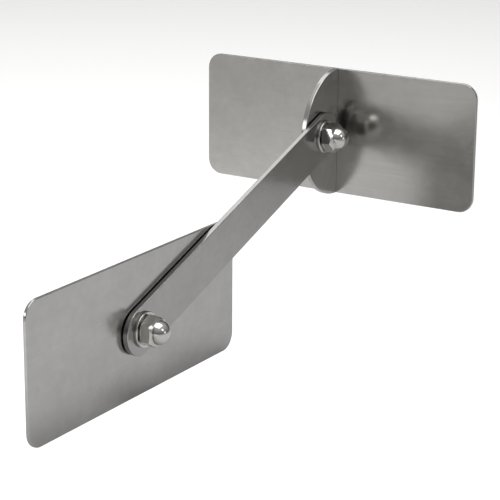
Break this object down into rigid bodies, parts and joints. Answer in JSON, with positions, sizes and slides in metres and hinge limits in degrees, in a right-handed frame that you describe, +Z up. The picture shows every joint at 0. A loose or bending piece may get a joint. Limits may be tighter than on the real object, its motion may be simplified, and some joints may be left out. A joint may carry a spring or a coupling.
{
  "type": "friction stay hinge",
  "caption": "Flat stainless stay arm with a friction pivot at each end, joining a plate parallel to the arm and a plate square to it through a half-round ear; dome nuts clamp the pivots.",
  "frame": {"origin": "centre of the back face of the frame plate; the frame pivot's axis is 0.55 mm below it and 0.5 mm nearer the sash plate", "axes": "+X out of the frame plate's front, along both pivot axes; +Y along the frame plate towards the sash plate; +Z up, across the frame plate"},
  "size_m": [0.12, 0.1974, 0.0921],
  "materials": {
    "sheet_steel": "fine brushed stainless sheet, satin",
    "fastener_steel": "bright polished stainless fasteners",
    "nylon": "black nylon, slightly waxy",
    "weld": "rippled stainless weld metal with a faint straw tint"
  },
  "bodies": {
    "frame_side": {"frame_plate": "sheet_steel", "frame_stud": "fastener_steel", "frame_friction_washer": "nylon", "frame_flat_washer": "fastener_steel", "frame_dome_nut": "fastener_steel"},
    "arm": {"stay_arm": "sheet_steel"},
    "sash_side": {"sash_plate": "sheet_steel", "pivot_ear": "sheet_steel", "ear_welds": "weld", "sash_stud": "fastener_steel", "sash_friction_washer": "nylon", "sash_flat_washer": "fastener_steel", "sash_dome_nut": "fastener_steel"}
  },
  "joints": [
    {"name": "frame_pivot", "type": "hinge", "parent": "frame_side", "child": "arm", "pos_m": [0, 0.0005, -0.00055], "axis": [1, 0, 0], "continuous": true},
    {"name": "sash_pivot", "type": "hinge", "parent": "arm", "child": "sash_side", "pos_m": [0, 0.12214, 0.043], "axis": [1, 0, 0], "range_deg": [-80, 120]}
  ]
}
